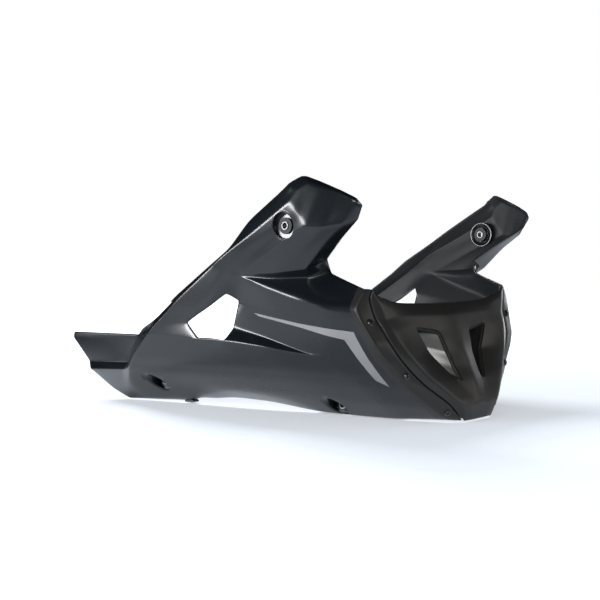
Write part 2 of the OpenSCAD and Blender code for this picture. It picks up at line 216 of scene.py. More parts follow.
def net_cells(net: Array, shut: Array) -> tuple[Array, Array, Array]:
    """Points and four-sided faces of a net.

    Args:
        net: points, rows by columns by 3, with NaN where the net has none.
        shut: one flag for each cell, False where the cell is left open.

    Returns:
        The points that faces use, the faces as rows of four point numbers that run
        anticlockwise when up crossed with forward points outwards, and each face's column.
    """
    rows, cols = net.shape[:2]
    number = np.arange(rows * cols).reshape(rows, cols)
    here = ~np.isnan(net[..., 0])
    whole = here[:-1, :-1] & here[1:, :-1] & here[1:, 1:] & here[:-1, 1:] & shut
    corners = [number[:-1, :-1], number[1:, :-1], number[1:, 1:], number[:-1, 1:]]
    quads = np.stack(corners, axis=2)[whole]
    kept, quads = np.unique(quads, return_inverse=True)
    return net.reshape(-1, 3)[kept], quads.reshape(-1, 4), np.nonzero(whole)[1]


def show(thing: Thing) -> Thing:
    """Links a thing to the scene and hands it back."""
    bpy.context.scene.collection.objects.link(thing)
    return thing


def mesh_object(name: str, points: Array, quads: Array) -> Thing:
    """Makes an object of four-sided faces and links it to the scene.

    Args:
        name: the object's name.
        points: places in metres.
        quads: faces as rows of four point numbers.

    Returns:
        The new object.
    """
    mesh = bpy.data.meshes.new(name)
    mesh.vertices.add(len(points))
    mesh.vertices.foreach_set("co", np.ascontiguousarray(points, np.float32).ravel())
    mesh.loops.add(quads.size)
    mesh.loops.foreach_set("vertex_index", np.ascontiguousarray(quads, np.int32).ravel())
    mesh.polygons.add(len(quads))
    mesh.polygons.foreach_set("loop_start", np.arange(len(quads), dtype=np.int32) * 4)
    mesh.update(calc_edges=True)
    mesh.validate()
    return show(bpy.data.objects.new(name, mesh))


def freeze(thing: Thing) -> None:
    """Applies all modifiers of an object to its mesh."""
    bpy.context.view_layer.update()
    graph = bpy.context.evaluated_depsgraph_get()
    done = bpy.data.meshes.new_from_object(thing.evaluated_get(graph))
    thing.modifiers.clear()
    thing.data = done


def shade(thing: Thing, degrees: float) -> None:
    """Shades smooth, but keeps edges that fold by more than the given angle."""
    thing.data.shade_smooth()
    thing.data.set_sharp_from_angle(angle=math.radians(degrees))


def subdivide(thing: Thing, levels: int) -> None:
    """Adds a Subdivision Surface with the same levels in view and render."""
    part = thing.modifiers.new("smooth", "SUBSURF")
    part.levels = part.render_levels = levels
    part.boundary_smooth = "PRESERVE_CORNERS"


def thicken(thing: Thing, wall: float, levels: int) -> None:
    """Gives an open skin its wall, inwards, and smooths both faces and the rims together."""
    part = thing.modifiers.new("wall", "SOLIDIFY")
    part.thickness, part.offset = wall, -1.0
    part.use_even_offset = False
    part.edge_crease_rim = 0.55
    part.material_offset = len(thing.data.materials) // 2
    subdivide(thing, levels)
    freeze(thing)


def cut(thing: Thing, cutter: Thing) -> None:
    """Cuts a solid cutter out of a thing and removes the cutter."""
    part = thing.modifiers.new("cut", "BOOLEAN")
    part.operation, part.object, part.solver = "DIFFERENCE", cutter, "EXACT"
    freeze(thing)
    bpy.data.objects.remove(cutter)


def revolve_net(profile: Array, turns: int) -> Array:
    """A profile of radius and height carried round a circle.

    Formula: at angle a, radius r and height h give (r cos a, h, r sin a).

    Args:
        profile: rows of radius and height.
        turns: points round the circle.

    Returns:
        The net, profile points by angles by 3.
    """
    angle = np.linspace(0, 2 * np.pi, turns, endpoint=False)
    r, h = profile[:, :1], profile[:, 1:]
    return np.stack([r * np.cos(angle), h + 0 * angle, r * np.sin(angle)], axis=2)


def ring_quads(rows: int, cols: int) -> Array:
    """Faces of a net whose columns close on themselves."""
    number = np.arange(rows * cols).reshape(rows, cols)
    nxt = np.roll(number, -1, axis=1)
    return np.stack([number[:-1], number[1:], nxt[1:], nxt[:-1]], axis=2).reshape(-1, 4)


def rod(
    name: str, centre: Triple, radius: float, span: tuple[float, float], sides: int
) -> Thing:
    """A closed cutter with its axis along Y.

    Formula: a circle of the radius at each end of the span, with both ends drawn to the axis.

    Args:
        name: the object's name.
        centre: a point of the axis.
        radius: the radius.
        span: lowest and highest y.
        sides: points round the circle.

    Returns:
        The cutter.
    """
    lo, hi = span
    net = revolve_net(np.array([[1e-6, lo], [radius, lo], [radius, hi], [1e-6, hi]]), sides)
    net[..., 0] += centre[0]
    net[..., 2] += centre[2]
    return mesh_object(name, net.reshape(-1, 3), ring_quads(4, sides))


def drop_on(target: Thing, xz: Array, side: Side, keep: float = 0.0) -> Array:
    """Drops points on to the outer skin of a side panel along Y.

    Args:
        target: the panel.
        xz: points, any shape by 2, in metres.
        side: the side whose outer face is met.
        keep: how far outside the skin the points stay.

    Returns:
        The points on the skin, the same shape by 3.
    """
    flat = xz.reshape(-1, 2)
    pts = np.stack([flat[:, 0], np.full(len(flat), START_Y * side.value), flat[:, 1]], axis=1)
    mesh = bpy.data.meshes.new("probe")
    mesh.vertices.add(len(pts))
    mesh.vertices.foreach_set("co", np.ascontiguousarray(pts, np.float32).ravel())
    probe = show(bpy.data.objects.new("probe", mesh))
    wrap = probe.modifiers.new("wrap", "SHRINKWRAP")
    wrap.target, wrap.wrap_method = target, "PROJECT"
    wrap.use_project_x = wrap.use_project_z = False
    wrap.use_project_y = True
    wrap.use_negative_direction = wrap.use_positive_direction = True
    wrap.offset = keep
    bpy.context.view_layer.update()
    done = probe.evaluated_get(bpy.context.evaluated_depsgraph_get())
    out = np.empty(len(pts) * 3, np.float32)
    done.data.vertices.foreach_get("co", out)
    bpy.data.objects.remove(probe)
    return out.reshape(*xz.shape[:-1], 3).astype(float)


def place(thing: Thing, skin: Skin | None, nodes: tuple[str, ...] = ()) -> None:
    """Rides a piece on the pan, dresses it and hides the nodes it stands for."""
    if skin is not None:
        thing.data.materials.clear()
        thing.data.materials.append(skin)
    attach(thing, "root")
    if nodes:
        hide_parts(*nodes)
    LOG.info("%s: %d faces", thing.name, len(thing.data.polygons))


def preset(node: Node, values: dict) -> None:
    """Sets a node's own inputs by their names or numbers."""
    for socket, value in values.items():
        node.inputs[socket].default_value = value


def wire(tree: Tree, *joints: tuple) -> None:
    """Links nodes.

    Args:
        tree: the nodes' tree.
        joints: for each link the node it leaves, its output, the node it enters and its input.
    """
    for source, out, target, into in joints:
        tree.links.new(source.outputs[out], target.inputs[into])


def calc(tree: Tree, operation: str, clamp: bool = False) -> Node:
    """Adds a Math node with its operation."""
    made = tree.nodes.new("ShaderNodeMath")
    made.operation, made.use_clamp = operation, clamp
    return made


def smooth_range(tree: Tree, ends: Quad) -> Node:
    """Adds a smooth step that carries the first two ends over to the last two."""
    made = tree.nodes.new("ShaderNodeMapRange")
    made.interpolation_type = "SMOOTHSTEP"
    preset(made, dict(zip(("From Min", "From Max", "To Min", "To Max"), ends)))
    return made


# Finishes
def grain_group() -> Tree:
    """Mould grain: fine and coarse noise on Object coordinates, as a height and a slow mask."""
    tree = bpy.data.node_groups.new("mould_grain", "ShaderNodeTree")
    face = tree.interface
    face.new_socket("Fine", in_out="INPUT", socket_type="NodeSocketFloat").default_value = 2500.0
    face.new_socket("Coarse", in_out="INPUT", socket_type="NodeSocketFloat").default_value = 9.0
    face.new_socket("Height", in_out="OUTPUT", socket_type="NodeSocketFloat")
    face.new_socket("Mask", in_out="OUTPUT", socket_type="NodeSocketFloat")
    n = tree.nodes
    gin, gout = n.new("NodeGroupInput"), n.new("NodeGroupOutput")
    where = n.new("ShaderNodeTexCoord")
    fine, slow = n.new("ShaderNodeTexNoise"), n.new("ShaderNodeTexNoise")
    fine.inputs["Detail"].default_value, slow.inputs["Detail"].default_value = 2.0, 3.0
    for noise, socket in ((fine, "Fine"), (slow, "Coarse")):
        wire(tree, (where, "Object", noise, "Vector"), (gin, socket, noise, "Scale"))
    wire(tree, (fine, "Fac", gout, "Height"), (slow, "Fac", gout, "Mask"))
    return tree


@dataclass(frozen=True)
class Finish:
    """A plastic, rubber or metal finish.

    Attributes:
        name: the material's name.
        colour: base colour where the slow mask is low.
        tone: base colour where it is high.
        rough: lowest and highest roughness.
        bump: height of the grain in metres.
        fine: scale of the grain.
        metal: metallic share.
        coat: weight of the clear coat.
        coat_rough: roughness of the clear coat.
        specular: strength of the bare surface's reflection.
    """

    name: str
    colour: Triple
    tone: Triple
    rough: tuple[float, float]
    bump: float
    fine: float
    metal: float = 0.0
    coat: float = 0.0
    coat_rough: float = 0.1
    specular: float = 0.5

    def build(self, grain: Tree) -> Skin:
        """Makes the material.

        Args:
            grain: the shared grain group.

        Returns:
            The material.
        """
        skin = bpy.data.materials.new(self.name)
        skin.use_nodes = True
        tree = skin.node_tree
        n = tree.nodes
        shader = n["Principled BSDF"]
        preset(shader, {
            "Metallic": self.metal, "Coat Weight": self.coat, "Coat Roughness": self.coat_rough,
            "Specular IOR Level": self.specular,
        })
        made = n.new("ShaderNodeGroup")
        made.node_tree = grain
        preset(made, {"Fine": self.fine})
        mix = n.new("ShaderNodeMix")
        mix.data_type = "RGBA"
        preset(mix, {"A": (*self.colour, 1), "B": (*self.tone, 1)})
        rough = n.new("ShaderNodeMapRange")
        rough.inputs["To Min"].default_value, rough.inputs["To Max"].default_value = self.rough
        bump = n.new("ShaderNodeBump")
        preset(bump, {"Strength": 1.0, "Distance": self.bump})
        wire(
            tree, (made, "Mask", mix, "Factor"), (mix, "Result", shader, "Base Color"),
            (made, "Mask", rough, "Value"), (rough, "Result", shader, "Roughness"),
            (made, "Height", bump, "Height"), (bump, "Normal", shader, "Normal"),
        )
        return skin


SATIN_BLACK = Finish(
    "satin_black_panel", (0.0038, 0.0055, 0.0074), (0.0052, 0.0072, 0.0095), (0.24, 0.30),
    bump=0.000003, fine=900.0, coat=0.3, coat_rough=0.14,
)
INSIDE_BLACK = Finish(
    "dull_black_inside", (0.009, 0.0105, 0.012), (0.012, 0.0135, 0.015), (0.48, 0.56),
    bump=0.00002, fine=1500.0, specular=0.3,
)
GRAIN_BLACK = Finish(
    "grained_black_nose", (0.0150, 0.0147, 0.0140), (0.019, 0.0185, 0.0175), (0.31, 0.39),
    bump=0.00004, fine=2200.0,
)
DUCT_BLACK = Finish(
    "smooth_black_duct", (0.016, 0.016, 0.016), (0.02, 0.02, 0.02), (0.28, 0.36),
    bump=0.00001, fine=1500.0, coat=1.0, coat_rough=0.12,
)
STRIPE_GREY = Finish(
    "grey_stripe_film", (0.215, 0.213, 0.215), (0.235, 0.232, 0.235), (0.45, 0.55),
    bump=0.00001, fine=1500.0,
)
RUBBER = Finish(
    "black_rubber", (0.010, 0.010, 0.010), (0.014, 0.014, 0.014), (0.55, 0.7),
    bump=0.00003, fine=1600.0,
)
STEEL = Finish(
    "turned_steel", (0.15, 0.15, 0.155), (0.19, 0.19, 0.195), (0.40, 0.50),
    bump=0.00001, fine=2500.0, metal=1.0,
)
BLACK_SCREW = Finish(
    "black_screw", (0.012, 0.012, 0.013), (0.02, 0.02, 0.02), (0.22, 0.32),
    bump=0.00001, fine=2500.0, coat=0.3, coat_rough=0.1,
)
ZINC = Finish(
    "zinc_nut", (0.45, 0.45, 0.46), (0.55, 0.55, 0.55), (0.3, 0.45),
    bump=0.00002, fine=2500.0, metal=1.0,
)
PLATE_BLACK = Finish(
    "matt_black_plate", (0.018, 0.018, 0.018), (0.024, 0.024, 0.024), (0.5, 0.65),
    bump=0.00004, fine=1500.0,
)
FINISHES = {
    "panel": SATIN_BLACK, "inside": INSIDE_BLACK, "nose": GRAIN_BLACK, "duct": DUCT_BLACK,
    "stripe": STRIPE_GREY, "rubber": RUBBER, "steel": STEEL, "screw": BLACK_SCREW,
    "zinc": ZINC, "plate": PLATE_BLACK,
}


# Side panel

# Corners of the stripe's two edges, x and z in mm, and the small steps between corners
STRIPE_UPPER = [[82, 119], [141, 109.5], [201, 102], [206, 80], [213, 42]]
STRIPE_LOWER = [[88, 115.5], [141, 105.5], [190, 93.5], [194, 80], [203, 49]]
STRIPE_STEPS = (18, 18, 10, 18)

# Rings of the tail's hook: y, half width, half height and z in mm
HOOK_RINGS = (
    (105, 0.1, 0.1, 2.3), (105, 7.5, 1.5, 2.3), (98, 7.5, 1.5, 2.3),
    (95, 7.2, 1.5, 2.4), (94, 5.0, 1.0, 2.6), (93.8, 0.1, 0.1, 2.6),
)


@dataclass
class Pocket:
    """A round well moulded into a panel, with its axis along Y.

    Attributes:
        name: the well's name in piece names.
        x: middle of the floor along X, in mm.
        y: distance of the floor from the middle plane, in mm.
        z: middle of the floor along Z, in mm.
        radius: radius of the wall in mm.
        lip: width of the rim in mm.
        bush: radius of the bush in the floor in mm.
        dish: how far the rim sinks in mm.
        hole: radius of the hole in the floor in mm.
    """

    name: str
    x: float
    y: float
    z: float
    radius: float
    lip: float
    bush: float
    dish: float = 0.25
    hole: float = 5.5

    def rim_rings(self) -> tuple[tuple[float, float], ...]:
        """Rings of the rim, from outside in.

        Returns:
            For each ring how far it lies outside the wall and how far it stands off the
            skin, in mm.
        """
        return (
            (self.lip, -0.12), (self.lip * 0.75, 0.08), (self.lip * 0.45, -0.4 * self.dish + 0.1),
            (0.3, -self.dish), (0.0, -self.dish - 0.7),
        )

    def floor_rings(self) -> tuple[tuple[float, float], ...]:
        """Rings of the floor, its hole, the lug round the bush and the cup's back.

        Returns:
            For each ring its radius and its height above the floor, in mm.
        """
        r, lug = self.radius, self.bush + 0.2
        return (
            (r - 0.4, 0.0), (r - 2, 0.0), (self.hole, 0.0), (self.hole, -1.5), (self.hole, -3.0),
            (lug, -3.0), (lug + 0.2, -2.6), (lug + 1.2, -1.2), (r - 1.2, -1.6),
            (r + 0.6, -3.2), (r + 1.2, -3.4), (r + 2.0, -3.2), (r + 2.5, -2.5),
        )


@dataclass
class SidePanel:
    """One moulded side panel with its wells, stripe and hook.

    Attributes:
        side: which side of the pan.
        skins: the materials by name.
        wall: thickness of the skin in mm.
        fold: size of a sharp fold in mm.
        soft: where a soft line's support lies, as a share of the edge.
        levels: subdivision levels.
        step: how far the foot of the belly's step is moved, in mm.
        rise: from the foot of that step to its top, in mm.
        strip_column: first column of cells in the front strip.
        bore_room: room round a well's wall in mm.
        bore_lip: share of a deep rim that is bored away.
        bore_back: start of the bore behind the floor in mm.
        bore_end: its end from the middle plane in metres.
        bore_sides: points round a bore.
        turns: points round a well.
        lowest: lowest z of a well's rim, floor and back in metres.
        film: thickness of the stripe film in metres.
        film_lift: its distance from the skin in metres.
        hook_x: middle of the hook along X in mm.
        hook_sides: points round the hook.
        square: power that squares the hook's section.
        pockets: the three wells.
        shell: the skin, once it is made.
    """

    side: Side
    skins: dict[str, Skin]
    wall: float = 3.0
    fold: float = 3.5
    soft: float = 0.43
    levels: int = 2
    step: Triple = (4.0, 0.0, -0.5)
    rise: Triple = (5.0, 0.0, 5.0)
    strip_column: int = 26
    bore_room: float = 0.5
    bore_lip: float = 0.55
    bore_back: float = 8
    bore_end: float = 0.26
    bore_sides: int = 72
    turns: int = 96
    lowest: Triple = (0.001, 0.0009, 0.0008)
    film: float = 0.0002
    film_lift: float = 0.00022
    hook_x: float = -92
    hook_sides: int = 24
    square: float = 0.4
    pockets: tuple[Pocket, ...] = (
        Pocket("upper", 146, 200, 211, 13.5, 3.2, 8.5),
        Pocket("rear", -108, 128, 28, 10, 3.6, 6.5, 1.6),
        Pocket("front", 122, 70, 11.5, 10, 3.4, 6.5, 1.8),
    )
    shell: Thing | None = None

    @property
    def word(self) -> str:
        """The side's name in piece names."""
        return self.side.name.lower()

    def net(self) -> Array:
        """The design net of this side in metres, with its Y sign."""
        rear = REAR[self.side]
        rows = [LIP] + [rear[i] + BODY[i] for i in range(10)]
        rows += [rear[i + 10] + ARM[i] + [GAP, GAP] for i in range(5)]
        net = np.array(rows, float)
        net[..., 0] += SHIFT_X
        net[..., 1] *= self.side.value
        return net * MM

    def folds(self, shape: tuple[int, int]) -> tuple[Array, Array]:
        """Sharpness of the folds along columns and along rows.

        Args:
            shape: rows and columns of the net.

        Returns:
            Two arrays of the net's shape: column folds and row folds.
        """
        cols, rows = np.zeros(shape), np.zeros(shape)
        cols[3:7, 1] = 1.0
        cols[3:9, 2] = 1.0
        cols[9:16, 2] = 0.7
        cols[2, 2] = 0.5
        cols[11:14, 5] = 0.9
        cols[10:15, 7] = 1.0
        cols[1:11, 9] = 0.85
        rows[1, 6:9] = 1.0
        rows[3:5, 0:2] = 1.0
        rows[5, 3:5] = 1.0
        rows[5, 5:7] = 0.5
        rows[5, 7] = 0.4
        rows[6, 5:7] = 0.6
        rows[6, 7] = 0.5
        rows[8, 5:7] = 0.9
        rows[8, 7] = 0.3
        rows[9, 5:10] = 0.15
        rows[10, 5:8] = 1.0
        rows[11, 5:9] = 1.0
        rows[13, 2:8] = 0.7
        rows[14, 2:9] = 0.9
        return cols, rows

    def build_shell(self) -> None:
        """Makes the skin: the net with its folds, smoothed and thickened."""
        net = self.net()
        cols, rows = self.folds(net.shape[:2])
        fine = refine(net, cols, rows, self.fold * MM, self.soft)
        foot, top, window = np.s_[3, 9], np.s_[3, 10], np.s_[5:8, 3:5]
        fine[foot] += np.array(self.step) * MM
        fine[top] = fine[foot] + np.array(self.rise) * MM
        shut = np.ones((net.shape[0] - 1, net.shape[1] - 1), bool)
        shut[window] = False
        shut = shut.repeat(3, axis=0).repeat(3, axis=1)
        points, quads, column = net_cells(fine, shut)
        if self.side is Side.RIGHT:
            quads = quads[:, ::-1]
        self.shell = mesh_object(f"{self.word}_panel", points, quads)
        for skin in ("panel", "nose", "inside", "inside"):
            self.shell.data.materials.append(self.skins[skin])
        in_strip = (column >= self.strip_column).astype(np.int32)
        self.shell.data.polygons.foreach_set("material_index", in_strip)
        thicken(self.shell, self.wall * MM, self.levels)

    def finish_shell(self) -> None:
        """Bores the wells through the skin and dresses it."""
        s = self.side.value
        for p in self.pockets:
            low, high = sorted((s * (p.y - self.bore_back) * MM, s * self.bore_end))
            centre = ((p.x + SHIFT_X) * MM, 0, p.z * MM)
            radius = (p.radius + self.bore_room + self.bore_lip * p.lip * (p.dish > 1)) * MM
            cut(self.shell, rod("cutter", centre, radius, (low, high), self.bore_sides))
        shade(self.shell, 75)
        place(self.shell, None, (f"{self.word}_side_panel",))

    def build_wells(self) -> None:
        """Makes each well: a rounded rim on the skin, a wall, a floor with its hole, and a back.

        Formula: the rim's rings follow the skin's height at their radius; the wall falls
        along Y to the floor; the floor runs in to the hole and a little way down it, then
        out again behind the bush, and ends in a ring behind the skin.
        """
        s = self.side.value
        rim_low, floor_low, back_low = self.lowest
        angle = np.linspace(0, 2 * np.pi, self.turns, endpoint=False)
        around = np.stack([np.cos(angle), np.sin(angle)], axis=1)
        for p in self.pockets:
            centre = np.array([p.x + SHIFT_X, p.z])
            rings = []
            for extra, off in p.rim_rings():
                xz = centre + around * (p.radius + extra)
                xz[:, 1] = np.maximum(xz[:, 1], rim_low / MM)
                ring = drop_on(self.shell, xz * MM, self.side)
                ring[:, 1] += s * off * MM
                rings.append(ring)
            floor = s * p.y * MM
            wall = rings[-1]
            for share in (0.75, 0.5, 0.25, 0.05):
                ring = wall.copy()
                ring[:, 1] = (wall[:, 1] - floor) * share + floor
                rings.append(ring)
            for r, y in p.floor_rings():
                xz = (centre + around * r) * MM
                xz[:, 1] = np.maximum(xz[:, 1], floor_low)
                level = np.full(self.turns, floor + s * y * MM)
                rings.append(np.stack([xz[:, 0], level, xz[:, 1]], axis=1))
            back = wall.copy()
            out = around * 2.4 * MM
            back[:, 0] += out[:, 0]
            back[:, 2] = np.maximum(back[:, 2] + out[:, 1], back_low)
            back[:, 1] -= s * 1.6 * MM
            rings.append(back)
            net = np.array(rings)
            quads = ring_quads(len(rings), self.turns)
            if self.side is Side.LEFT:
                quads = quads[:, ::-1]
            well = mesh_object(f"{self.word}_{p.name}_well", net.reshape(-1, 3), quads)
            shade(well, 40)
            place(well, self.skins["panel"])

    def build_stripe(self) -> None:
        """Makes the stripe film: a bent band laid on the skin.

        Formula: points between an upper and a lower edge line, each a broken line of
        corners, dropped on the skin and kept a hair outside it.
        """
        spans = [np.linspace(0, 1, k, endpoint=False) + i for i, k in enumerate(STRIPE_STEPS)]
        share = np.concatenate([*spans, [float(len(STRIPE_STEPS))]])
        corner = np.arange(len(STRIPE_UPPER))
        upper, lower = (
            np.stack([np.interp(share, corner, line[:, k]) for k in (0, 1)], axis=1)
            for line in (np.array(STRIPE_UPPER, float), np.array(STRIPE_LOWER, float))
        )
        across = np.linspace(0, 1, 9)[None, :, None]
        xz = upper[:, None] * (1 - across) + lower[:, None] * across
        xz[..., 0] += SHIFT_X
        net = drop_on(self.shell, xz * MM, self.side)
        net[..., 1] += self.side.value * self.film_lift
        points, quads, _ = net_cells(net, np.ones((net.shape[0] - 1, net.shape[1] - 1), bool))
        if self.side is Side.LEFT:
            quads = quads[:, ::-1]
        film = mesh_object(f"{self.word}_stripe_film", points, quads)
        part = film.modifiers.new("wall", "SOLIDIFY")
        part.thickness, part.offset = self.film, 1.0
        freeze(film)
        shade(film, 40)
        place(film, self.skins["stripe"], (f"{self.word}_stripe",))

    def build_hook(self) -> None:
        """Makes the tail's hook: a short tongue that turns inwards from the belly edge.

        Formula: a rounded rectangle in section, carried inwards along Y.
        """
        s = self.side.value
        turn = np.linspace(0, 2 * np.pi, self.hook_sides, endpoint=False)
        across, tall = (np.sign(v) * np.abs(v) ** self.square for v in (np.cos(turn), np.sin(turn)))
        rings = []
        for y, half, high, z in HOOK_RINGS:
            x = self.hook_x + SHIFT_X + across * half
            rings.append(np.stack([x, np.full(self.hook_sides, s * float(y)), z + tall * high], axis=1))
        net = np.array(rings) * MM
        quads = ring_quads(len(rings), self.hook_sides)
        if self.side is Side.RIGHT:
            quads = quads[:, ::-1]
        hook = mesh_object(f"{self.word}_tail_hook", net.reshape(-1, 3), quads)
        shade(hook, 40)
        place(hook, self.skins["panel"])

    def build(self) -> None:
        """Builds the whole side."""
        self.build_shell()
        self.build_wells()
        self.build_stripe()
        self.build_hook()
        self.finish_shell()


# Nose scoop
BACK = np.array([-0.93, 0.0, -0.36])  # the way in behind an intake
INTAKE_COLUMN = {Side.LEFT: 12, Side.RIGHT: 21}  # where each intake starts in the refined net
INTAKE_ROWS = (6, 18)  # its first and last row there
RIM_TURN = ((1.2, 0.3), (6.0, 0.8))  # steps of a turned rim: back and towards the middle (mm)


@dataclass
class NoseScoop:
    """The nose between the front strips, with its intakes and ducts.

    Attributes:
        panel: the left panel's design net, which the flange follows.
        skins: the materials by name.
        wall: thickness in mm.
        fold: size of a sharp fold in mm.
        soft: where a soft line's support lies, as a share of the edge.
        depth: how far the flange lies behind the strip, in mm.
        duct_back: how far behind the rim a duct starts, in mm.
        duct_draw: the share by which it is drawn in there.
        throat: middle of a duct's far end before the shift, in mm.
        narrow: the far end's size as a share of the rim's, along each axis.
        duct_rings: rings of a duct.
        duct_wall: thickness of its wall in metres.
        rims: the rim of each intake, once turn_in has found it.
    """

    panel: Array
    skins: dict[str, Skin]
    wall: float = 2.5
    fold: float = 3.0
    soft: float = 0.42
    depth: float = 3.6
    duct_back: float = 3.4
    duct_draw: float = 0.02
    throat: Triple = (191, 66, 88)
    narrow: Triple = (0.15, 0.2, 0.5)
    duct_rings: int = 9
    duct_wall: float = 0.0016
    rims: dict[Side, Array] = field(default_factory=dict)

    def net(self) -> Array:
        """The nose's net in metres: flange, parting line and face, mirrored about Y = 0."""
        a, b = self.panel[1:11, 9] / MM, self.panel[1:11, 10] / MM
        along = np.gradient(b, axis=0)
        across = b - a
        across /= np.linalg.norm(across, axis=1, keepdims=True)
        inward = -np.cross(along, across)
        inward /= np.linalg.norm(inward, axis=1, keepdims=True)
        inward *= np.sign((inward * [-1, -1, 0]).sum(axis=1, keepdims=True))
        half = np.array(NOSE_HALF, float)
        half[..., 0] += SHIFT_X
        ia, ib = a + inward * self.depth, b + inward * self.depth
        flange = np.stack([ia * 0.85 + ib * 0.15, ib + across * 0.5, b + across * 1.5], axis=1)
        left = np.concatenate([flange, half], axis=1)
        right = left[:, -2::-1] * [1, -1, 1]
        return np.concatenate([left, right], axis=1) * MM

    def build(self) -> None:
        """Builds the nose and its ducts."""
        net = self.net()
        shape = net.shape[:2]
        cols, rows = np.zeros(shape), np.zeros(shape)
        for c in (1, 2, 10, 11):
            cols[:, c] = 1.0
        cols[:, [3, 9]] = 0.1
        rows[7, 3:10] = 0.7
        rows[7, [2, 10]] = 0.35
        fine = refine(net, cols, rows, self.fold * MM, self.soft)
        shut = np.ones((shape[0] - 1, shape[1] - 1), bool)
        shut[2:6, [4, 7]] = False
        shut = shut.repeat(3, axis=0).repeat(3, axis=1)
        points, quads, _ = net_cells(fine, shut)
        points, quads = self.turn_in(points, quads, fine)
        nose = mesh_object("nose_scoop_skin", points, quads)
        thicken(nose, self.wall * MM, 2)
        shade(nose, 75)
        place(nose, self.skins["nose"], ("nose_scoop",))
        for side in Side:
            self.build_duct(side)

    def turn_in(self, points: Array, quads: Array, fine: Array) -> tuple[Array, Array]:
        """Turns the rim of each intake inwards.

        Formula: the rim's points move back along the face's slope by 1.2 and 6 mm and
        towards the rim's middle by 0.3 and 0.8 mm.

        Args:
            points: points of the face.
            quads: faces of the face.
            fine: the refined net, for the rims.

        Returns:
            Points and faces with the turned rims.
        """
        low, high = INTAKE_ROWS
        for side, first in INTAKE_COLUMN.items():
            last = first + 3
            loop = (
                fine[low:high, first], fine[high, first:last],
                fine[high:low:-1, last], fine[low, last:first:-1],
            )
            rim = np.concatenate(loop)
            gap = np.linalg.norm(points[None] - rim[:, None], axis=2)
            at = gap.argmin(axis=1)
            middle = rim.mean(axis=0)
            inwards = (middle - rim) / np.linalg.norm(middle - rim, axis=1, keepdims=True)
            new = [rim + BACK * d * MM + inwards * t * MM for d, t in RIM_TURN]
            count, base = len(rim), len(points)
            numbers = np.stack([at, base + np.arange(count), base + count + np.arange(count)])
            nxt = np.roll(numbers, -1, axis=1)
            band = np.stack([numbers[:-1], nxt[:-1], nxt[1:], numbers[1:]], axis=2).reshape(-1, 4)
            points = np.concatenate([points, *new])
            quads = np.concatenate([quads, band[:, ::-1]])
            self.rims[side] = rim
        return points, quads

    def build_duct(self, side: Side) -> None:
        """Makes the duct behind one intake.

        Formula: the rim, set back and drawn in a little, is carried in even, straight steps
        to a smaller copy of itself further back, higher and further out.

        Args:
            side: which intake.
        """
        rim = self.rims[side]
        middle = rim.mean(axis=0)
        x, y, z = self.throat
        start = rim + BACK * self.duct_back * MM + (middle - rim) * self.duct_draw
        goal = np.array([x + SHIFT_X, y * side.value, z]) * MM
        end = goal + (rim - middle) * np.array(self.narrow)
        t = np.linspace(0, 1, self.duct_rings)[:, None, None]
        rings = start[None] * (1 - t) + end[None] * t
        quads = ring_quads(self.duct_rings, len(rim))[:, ::-1]
        duct = mesh_object(f"{side.name.lower()}_duct_skin", rings.reshape(-1, 3), quads)
        subdivide(duct, 2)
        part = duct.modifiers.new("wall", "SOLIDIFY")
        part.thickness, part.offset = self.duct_wall, 1.0
        freeze(duct)
        shade(duct, 40)
        place(duct, self.skins["duct"], (f"{side.name.lower()}_intake_duct",))


# Hardware
@dataclass
class Hardware:
    """The carried-over CAD nodes and their finishes.

    Attributes:
        skins: the materials by name.
    """

    skins: dict[str, Skin]

    def dress(self) -> None:
        """Gives each CAD node that stays its finish."""
        words = {
            "bush": "rubber", "sleeve": "steel", "screws": "screw",
            "clip_nuts": "zinc", "cross_plate": "plate",
        }
        for name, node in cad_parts.items():
            for word, skin in words.items():
                if word in name and not (word == "cross_plate" and "screws" in name):
                    node.data.materials.clear()
                    node.data.materials.append(self.skins[skin])
                    LOG.info("%s: %s", name, skin)


# Studio
FRAME_SIDE = 600  # side of the picture in pixels
SENSOR = 36.0  # width of the camera's sensor in mm


@dataclass(frozen=True)
class Lamp:
    """A soft rectangular lamp that faces the pan.

    Attributes:
        name: the lamp's name.
        at: its place in metres.
        size: width and height in metres.
        watts: its power.
        tint: its colour.
        mirrored: whether reflections show it.
    """

    name: str
    at: Triple
    size: tuple[float, float]
    watts: float
    tint: Triple
    mirrored: bool = True

    def hang(self, aim: Triple) -> None:
        """Adds the lamp to the scene.

        Args:
            aim: the point that it faces.
        """
        data = bpy.data.lights.new(self.name, "AREA")
        data.shape, data.size, data.size_y = "RECTANGLE", *self.size
        data.energy, data.color = self.watts, self.tint
        lamp = show(bpy.data.objects.new(self.name, data))
        lamp.location = self.at
        lamp.rotation_euler = (Vector(aim) - Vector(self.at)).to_track_quat("-Z", "Y").to_euler()
        lamp.visible_glossy = self.mirrored


